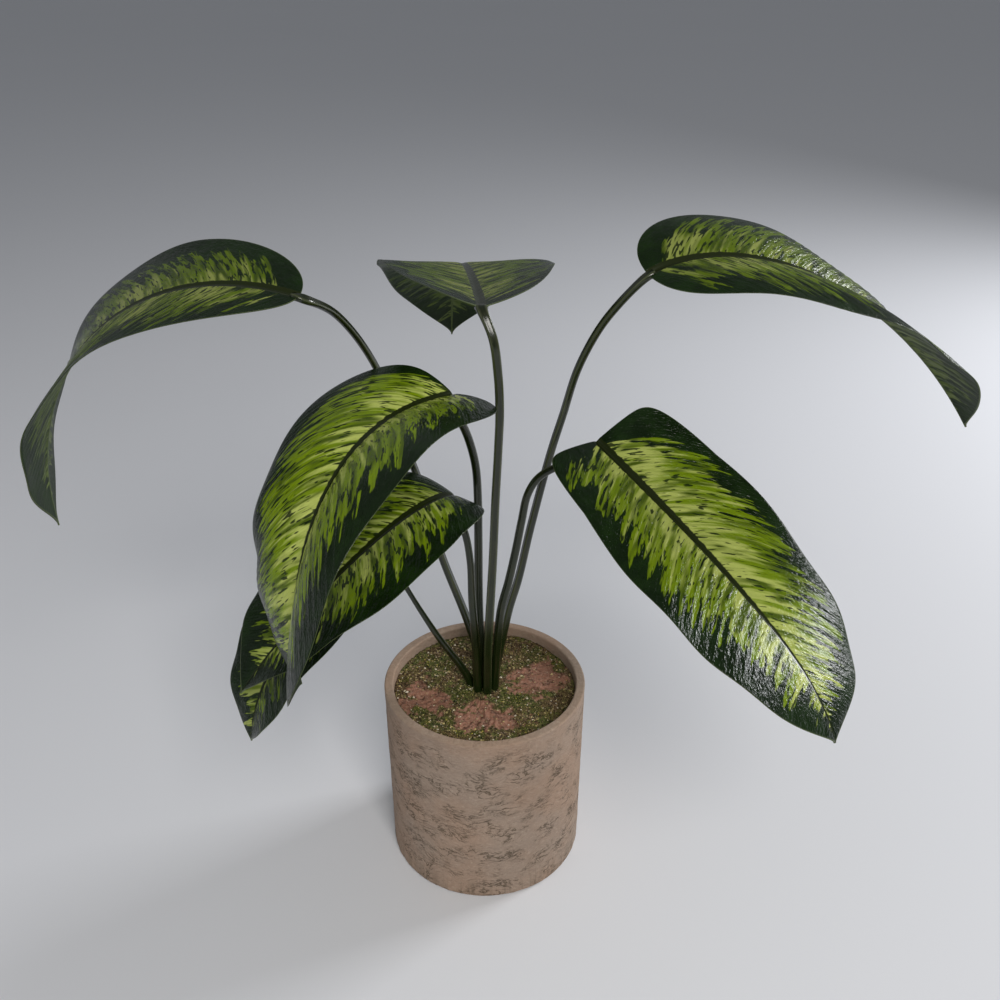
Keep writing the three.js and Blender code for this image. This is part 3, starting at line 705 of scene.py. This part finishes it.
stalk_finish, tree, shader = new_finish("olive_stalk", 0.19, 0.5)
where = add_node(tree, "ShaderNodeAttribute", {"attribute_name": "stalk_place"}).outputs["Vector"]
axes = add_node(tree, "ShaderNodeSeparateXYZ", None, Vector=where)
place = add_node(tree, "ShaderNodeTexCoord").outputs["Object"]
fibre = speckle(tree, stretched(tree, where, 5, 0, 26), 2.2, 4, 0.6)
mottle = speckle(tree, stretched(tree, place, 1, 1, 0.25), 160, 3, 0.6)
colour = blend_colours(tree, ramp(tree, fibre, 0.3, 0.7), (0.003, 0.006, 0.001, 1),
                       (0.013, 0.020, 0.004, 1))
brown_share = calculate(tree, "MULTIPLY", ramp(tree, mottle, 0.45, 0.75), 0.3)
colour = blend_colours(tree, brown_share, colour, (0.055, 0.05, 0.022, 1))
# the ridges on the groove's edges are painted paler: partly their own paler colour, partly a
# painted highlight
pale_edge_and_highlight_share = calculate(tree, "MULTIPLY", axes.outputs["Y"], 0.6)
colour = blend_colours(tree, pale_edge_and_highlight_share, colour, (0.10, 0.115, 0.055, 1))
foot_share = calculate(tree, "SUBTRACT", 0.8, ramp(tree, axes.outputs["X"], 0.0, 0.4))
colour = blend_colours(tree, foot_share, colour, (0.008, 0.018, 0.003, 1))
tree.links.new(colour, shader.inputs["Base Color"])
bump = add_node(tree, "ShaderNodeBump", None, Strength=0.25, Distance=0.0003,
                Height=calculate(tree, "MULTIPLY_ADD", fibre, 0.7, mottle))
tree.links.new(bump.outputs[0], shader.inputs["Normal"])

for leaf in LEAVES:
    grid, values = stalk_grid(leaf)
    stalk, used = skin("green_stalk_" + leaf["name"], grid)
    store_place(stalk, used, values, "stalk_place")
    stalk.data.materials.append(stalk_finish)
    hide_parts("stalk_" + leaf["name"])
    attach(stalk, "root")

# the buried cane keeps its own solid and gets a dull brownish green bark
cane_finish, tree, shader = new_finish("buried_cane", 0.7, 0.3)
place = add_node(tree, "ShaderNodeTexCoord").outputs["Object"]
bark = speckle(tree, stretched(tree, place, 1, 1, 3), 160, 4, 0.6)
colour = blend_colours(tree, bark, (0.10, 0.085, 0.035, 1), (0.22, 0.21, 0.09, 1))
tree.links.new(colour, shader.inputs["Base Color"])
for material_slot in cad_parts["cane"].material_slots:
    material_slot.material = cane_finish

# ---------------------------------------------------------------------------------------------
# The blades: seven thin arching leaf blades, creamy lime along the middle, breaking up into a
# dark green margin in feathered streaks that follow the side veins. A keeled midrib runs below.
# ---------------------------------------------------------------------------------------------

VEIN_SWEEP = 0.14
VEIN_CURVE = 1.4
WIDEST_SKEW = 0.7
TIP_TAPER = 0.085
BASE_NECK = 0.04
BASE_NECK_LENGTH = 0.08
LOBE_LENGTH = 0.16
TUCK_LENGTH = 0.16
TIP_BLUNT = 0.01
RIB_HALF_WIDTH = 0.0026
RIB_TAPER = 0.85
MARGIN_WAVE = 0.0016
MARGIN_WAVES = 3.5
BLADE_ROWS = 200
BLADE_COLUMNS = 44
EDGE_ROUND = 0.04
VEIN_SPACING = 0.0085
VEIN_RELIEF = 0.00032
# how far a side vein runs towards the tip: metres per metre off the midrib, and per square metre
VEIN_SLANT = 0.55
VEIN_BOW = 4.2
RIB_GROOVE_DEPTH = 0.0008
RIB_GROOVE_WIDTH = 0.0019


def half_width(leaf, t):
    """Half width over the widest, at a share t of the way to the tip: a skewed sine hump that
    narrows to a point at the tip, and a narrow neck at the base."""
    body = np.maximum(np.sin(np.pi * t ** WIDEST_SKEW), 0) ** leaf["blunt"]
    taper = 1 - np.exp((t - 1) / TIP_TAPER)
    neck = BASE_NECK * np.maximum(0, 1 - t / BASE_NECK_LENGTH)
    return np.sqrt((body * taper) ** 2 + neck ** 2 + TIP_BLUNT ** 2)


def blade_grid(leaf):
    """Sections of a blade from base to tip, each a loop over the top from left to right and back
    below. Both halves lift from the midrib by the fold and arch over; the side veins are soft
    corrugations, the midrib is sunk a little above and keeled below, and the margin thins out.
    Also, for each point, its place in the pattern, its run along the leaf with the leaf's painted
    shade on its lime, and if it is below."""
    midrib = midrib_of(leaf)
    length, half = leaf["length"] / 1000, leaf["width"] / 2000
    even = np.linspace(0, 1, BLADE_COLUMNS)
    right = 0.5 * even ** 1.7 + 0.5 * (1 - (1 - even) ** 1.9)
    spread = np.concatenate([-right[::-1], right[1:]])
    v = np.concatenate([spread[::-1], spread[1:-1]])[None, :]
    below = np.concatenate([np.zeros(len(spread)), np.ones(len(spread) - 2)])[None, :]
    t = ((1 - np.cos(np.pi * np.arange(BLADE_ROWS + 1) / BLADE_ROWS)) / 2)[:, None]
    lobes = leaf["lobe"] * np.sin(np.pi * np.minimum(t / LOBE_LENGTH, 1))
    margin_at = t + VEIN_SWEEP * np.sin(np.pi * t) - lobes
    share = t + (margin_at - t) * np.abs(v) ** VEIN_CURVE
    tuck = np.where(v > 0, leaf["tuck"] * np.exp(-((t / TUCK_LENGTH) ** 2)), 0)
    sideways = v * half * half_width(leaf, t) * (1 - tuck)
    fold = np.radians(leaf["fold"][0] + (leaf["fold"][1] - leaf["fold"][0]) * np.clip(share, 0, 1))
    phase = 2 * np.pi * MARGIN_WAVES * t + 2 * v
    lift = np.abs(sideways) * np.sin(fold) - leaf["arch"] * sideways ** 2 / half
    lift = lift + MARGIN_WAVE * v ** 2 * np.sin(phase) * np.sin(np.pi * t)
    # the same point's place in the pattern: along a side vein, off the midrib, from the margin
    away = np.abs(sideways)
    vein = share * length - VEIN_SLANT * away - VEIN_BOW * away ** 2
    edge = (1 - np.abs(v)) * half * half_width(leaf, t)
    ripple = np.cos(2 * np.pi * vein / VEIN_SPACING + 0.9 * np.sign(v))
    calm = np.clip(away / 0.006, 0, 1) * np.clip(edge / 0.010, 0, 1) * np.sin(np.pi * t)
    lift = lift + VEIN_RELIEF * ripple * calm
    groove = RIB_GROOVE_DEPTH * (1 - 0.7 * t) * np.exp(-((sideways / RIB_GROOVE_WIDTH) ** 2))
    lift = lift - groove * (1 - below)
    keel = RIB_DEPTH * (1 - RIB_TAPER * t) * np.exp(-((sideways / RIB_HALF_WIDTH) ** 2))
    rounding = np.sqrt(1 - np.clip((np.abs(v) - (1 - EDGE_ROUND)) / EDGE_ROUND, 0, 1) ** 2)
    depth = (BLADE_THICKNESS * rounding + keel) * below
    place, across, up = (frame_at(midrib, share, part) for part in (1, 3, 4))
    rings = place + across * (sideways * np.cos(fold))[..., None] + up * (lift - depth)[..., None]
    ends = [np.repeat(rings[k].mean(axis=0)[None, None], rings.shape[1], axis=1) for k in (0, -1)]
    grid = np.concatenate([ends[0], rings, ends[1]])
    values = np.stack([vein, sideways, edge * np.ones_like(vein)], axis=2) * 1000
    values = np.concatenate([values[:1], values, values[-1:]])
    # the third value is the leaf's painted shade on its lime: 1 is none, lower is darker
    runs = np.stack([share * length * 1000, t + 0 * v, leaf["painted_light_on_lime"] + 0 * v + 0 * t], axis=2)
    runs = np.concatenate([runs[:1], runs, runs[-1:]])
    return grid, values, runs, np.repeat(below, len(grid), axis=0)

FINGER_REACH_MM = 30.0
MARGIN_SWAY_MM = 16.0
BASE_DARK_FROM_MM = 2.0
BASE_DARK_TO_MM = 32.0
BASE_MARGIN_MM = 17.0
HEART_MM = 27.0
RIB_AT_BASE_MM = 3.5
RIB_LOSS_MM = 3.0
PLEAT_MM = 2.8

# the variegation, in millimetres on the leaf: a dark margin, a lime body with pointed fingers,
# dark slits between them, a cream heart, dark midrib, a painted highlight along the margin, and
# the relief of veins and blisters
pattern = bpy.data.node_groups.new("variegation", "ShaderNodeTree")
for name in ("Leaf Place", "Leaf Run", "Leaf Kind"):
    pattern.interface.new_socket(name, in_out="INPUT", socket_type="NodeSocketVector")
for name in ("Lime", "Cream", "Slit", "Rib", "Painted Rim Highlight", "Relief", "Shade"):
    pattern.interface.new_socket(name, in_out="OUTPUT", socket_type="NodeSocketFloat")
group_in = pattern.nodes.new("NodeGroupInput")
group_out = pattern.nodes.new("NodeGroupOutput")
axes = add_node(pattern, "ShaderNodeSeparateXYZ", None, Vector=group_in.outputs["Leaf Place"])
run = add_node(pattern, "ShaderNodeSeparateXYZ", None, Vector=group_in.outputs["Leaf Run"])
kind = add_node(pattern, "ShaderNodeSeparateXYZ", None, Vector=group_in.outputs["Leaf Kind"])
vein, side, edge = axes.outputs["X"], axes.outputs["Y"], axes.outputs["Z"]
length_mm, along_share = run.outputs["X"], run.outputs["Y"]
seed, band, pale = kind.outputs["X"], kind.outputs["Y"], kind.outputs["Z"]
away = calculate(pattern, "ABSOLUTE", side)
half_no = calculate(pattern, "MULTIPLY_ADD", calculate(pattern, "SIGN", side), 37.0, seed)
streak_place = add_node(pattern, "ShaderNodeCombineXYZ", None, X=vein, Y=away, Z=half_no).outputs[0]


def streaks(across_mm, along_mm, detail, roughness=0.5, distortion=0.0):
    """Random streaks along the side veins, so wide across them and so long along them."""
    where = stretched(pattern, streak_place, 1 / across_mm, 1 / along_mm, 1.0)
    return speckle(pattern, where, 1.0, detail, roughness, distortion)


def about_half(value, scale, extra):
    """A streak value's distance from a half, times a scale, on top of something else."""
    centred = calculate(pattern, "SUBTRACT", value, 0.5)
    return calculate(pattern, "MULTIPLY_ADD", centred, scale, extra)


# how far inside the dark margin a place lies, with whole side veins reaching further than others
reach = calculate(pattern, "SUBTRACT", edge, band)
reach = about_half(streaks(6.5, 90, 0.0), FINGER_REACH_MM, reach)
reach = about_half(streaks(26, 60, 0.0), MARGIN_SWAY_MM, reach)
off_base = ramp(pattern, length_mm, BASE_DARK_FROM_MM, BASE_DARK_TO_MM)
base_dark = calculate(pattern, "SUBTRACT", 1.0, off_base)
reach = calculate(pattern, "MULTIPLY_ADD", base_dark, -BASE_MARGIN_MM, reach)
inside = calculate(pattern, "MINIMUM", calculate(pattern, "MAXIMUM", reach, 0.0), HEART_MM)
outside = calculate(pattern, "MAXIMUM", calculate(pattern, "MULTIPLY", reach, -1.0), 0.0)
limit = calculate(pattern, "MULTIPLY_ADD", inside, -0.0078, 0.505)
limit = calculate(pattern, "MULTIPLY_ADD", outside, 0.04, limit)
fingers = streaks(4.8, 20, 1.8, 0.5, 0.25)
lime = ramp(pattern, calculate(pattern, "SUBTRACT", fingers, limit), -0.03, 0.05)
slit_at = calculate(pattern, "MULTIPLY_ADD", inside, -0.0016, streaks(2.2, 9, 1.2, 0.5, 0.4))
slit_at = about_half(streaks(7, 16, 1.0), 0.4, slit_at)
slit_at = calculate(pattern, "MULTIPLY_ADD", base_dark, 0.07, slit_at)
# a leaf with a paler heart has fewer slits
dull = calculate(pattern, "SUBTRACT", 0.86, pale)
slit_at = calculate(pattern, "MULTIPLY_ADD", dull, 0.08, slit_at)
slit = ramp(pattern, slit_at, 0.56, 0.615)
cream_at = about_half(streaks(5.6, 34, 1.0), 1.5, about_half(streaks(2.2, 26, 1.0), 0.5, 0.5))
cream_at = calculate(pattern, "MULTIPLY_ADD", away, -0.011, cream_at)
cream_at = calculate(pattern, "MULTIPLY_ADD", pale, 0.28, cream_at)
cream = ramp(pattern, cream_at, 0.36, 0.74)
shade = ramp(pattern, streaks(6.5, 28, 1.5, 0.5, 0.3), 0.34, 0.54)
rib_share = calculate(pattern, "POWER", calculate(pattern, "MAXIMUM", along_share, 0.0), 1.5)
rib_half = calculate(pattern, "MULTIPLY_ADD", rib_share, -RIB_LOSS_MM, RIB_AT_BASE_MM)
rib_half = about_half(streaks(4.0, 30, 1.0), 1.6, rib_half)
rib_at = calculate(pattern, "SUBTRACT", away, rib_half)
rib = calculate(pattern, "SUBTRACT", 1.0, ramp(pattern, rib_at, -0.3, 0.3))
# painted highlight: a pale line along the last 0.75 mm of the margin
painted_rim_highlight = calculate(pattern, "SUBTRACT", 1.0, ramp(pattern, edge, 0.25, 0.75))
cells = add_node(pattern, "ShaderNodeTexVoronoi", {"feature": "SMOOTH_F1"}, Scale=1.0,
                 Vector=stretched(pattern, streak_place, 0.42, 0.3, 1.0)).outputs["Distance"]
blisters = streaks(1.1, 1.5, 1.5)
pleat_turn = calculate(pattern, "MULTIPLY", vein, 2 * math.pi / PLEAT_MM)
pleats = calculate(pattern, "COSINE", pleat_turn)
relief = calculate(pattern, "MULTIPLY", cells, -0.9)
relief = calculate(pattern, "MULTIPLY_ADD", blisters, 0.8, relief)
relief = calculate(pattern, "MULTIPLY_ADD", pleats, 0.06, relief)
relief = calculate(pattern, "MULTIPLY", relief, calculate(pattern, "SUBTRACT", 1.0, rib))
for name, value in (("Lime", lime), ("Cream", cream), ("Slit", slit), ("Rib", rib),
                    ("Painted Rim Highlight", painted_rim_highlight), ("Relief", relief), ("Shade", shade)):
    pattern.links.new(value, group_out.inputs[name])


LEAF_SPECULAR = 0.22
# the colour of the painted highlight along the margin
PAINTED_RIM_HIGHLIGHT_COLOUR = (0.14, 0.17, 0.08, 1)


def leaf_finish(name, roughness, bump_strength, dark, green, lime, cream, rib):
    """One side of the blades: greens laid over each other by the variegation's masks. The ground
    is the margin's clouded green, and painted shade pulls a leaf's lime part way towards it, by a
    value for each leaf that is lowest on the higher blades."""
    material, tree, shader = new_finish(name, roughness, LEAF_SPECULAR)
    group = tree.nodes.new("ShaderNodeGroup")
    group.node_tree = pattern
    sources = {}
    for socket, attribute in (("Leaf Place", "leaf_place"), ("Leaf Run", "leaf_run"),
                              ("Leaf Kind", "leaf_kind")):
        source = add_node(tree, "ShaderNodeAttribute", {"attribute_name": attribute})
        sources[attribute] = source.outputs["Vector"]
        tree.links.new(sources[attribute], group.inputs[socket])
    masks = group.outputs
    place = add_node(tree, "ShaderNodeTexCoord").outputs["Object"]
    cloud = speckle(tree, place, 60, 3)
    ground = blend_colours(tree, ramp(tree, cloud, 0.35, 0.7), dark, green)
    body = blend_colours(tree, masks["Cream"], lime, cream)
    deep = blend_colours(tree, 0.62, lime, green)
    body = blend_colours(tree, masks["Shade"], deep, body)
    # painted shade: the lime of each blade is pulled towards the dark ground by the leaf's value
    painted_light_on_lime = add_node(tree, "ShaderNodeSeparateXYZ", None, Vector=sources["leaf_run"]).outputs["Z"]
    body = blend_colours(tree, painted_light_on_lime, ground, body)
    colour = blend_colours(tree, masks["Lime"], ground, body)
    slit_share = calculate(tree, "MULTIPLY", masks["Slit"], 0.92)
    colour = blend_colours(tree, slit_share, colour, ground)
    colour = blend_colours(tree, masks["Rib"], colour, rib)
    # the painted highlight along the margin, at half strength
    painted_rim_highlight_share = calculate(tree, "MULTIPLY", masks["Painted Rim Highlight"], 0.5)
    colour = blend_colours(tree, painted_rim_highlight_share, colour, PAINTED_RIM_HIGHLIGHT_COLOUR)
    tree.links.new(colour, shader.inputs["Base Color"])
    gloss = calculate(tree, "MULTIPLY_ADD", cloud, 0.16, roughness - 0.08)
    tree.links.new(gloss, shader.inputs["Roughness"])
    bump = add_node(tree, "ShaderNodeBump", None, Strength=bump_strength, Distance=0.0009,
                    Height=masks["Relief"])
    tree.links.new(bump.outputs[0], shader.inputs["Normal"])
    return material


upper_finish = leaf_finish("leaf_top", roughness=0.24, bump_strength=0.6,
                           dark=(0.0038, 0.0115, 0.0014, 1), green=(0.0075, 0.022, 0.0025, 1),
                           lime=(0.18, 0.27, 0.003, 1), cream=(0.48, 0.55, 0.13, 1),
                           rib=(0.014, 0.020, 0.004, 1))
under_finish = leaf_finish("leaf_under", roughness=0.48, bump_strength=0.3,
                           dark=(0.009, 0.021, 0.005, 1), green=(0.016, 0.034, 0.008, 1),
                           lime=(0.13, 0.19, 0.02, 1), cream=(0.25, 0.32, 0.09, 1),
                           rib=(0.075, 0.105, 0.03, 1))

LEAF_SEED_STEP = 11.0

for number, leaf in enumerate(LEAVES):
    grid, values, runs, below = blade_grid(leaf)
    blade, used = skin("leaf_blade_" + leaf["name"], grid)
    store_place(blade, used, values, "leaf_place")
    store_place(blade, used, runs, "leaf_run")
    leaf_kind = np.ones_like(values) * (LEAF_SEED_STEP * number, leaf["band"], leaf["pale"])
    store_place(blade, used, leaf_kind, "leaf_kind")
    blade.data.materials.append(upper_finish)
    blade.data.materials.append(under_finish)
    below = below.reshape(-1)[used]
    loop_vertex = np.empty(len(blade.data.loops), np.int32)
    blade.data.loops.foreach_get("vertex_index", loop_vertex)
    starts = np.empty(len(blade.data.polygons), np.int32)
    blade.data.polygons.foreach_get("loop_start", starts)
    face_below = np.maximum.reduceat(below[loop_vertex], starts) > 0.5
    blade.data.polygons.foreach_set("material_index", face_below.astype(np.int32))
    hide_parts("blade_" + leaf["name"])
    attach(blade, "root")
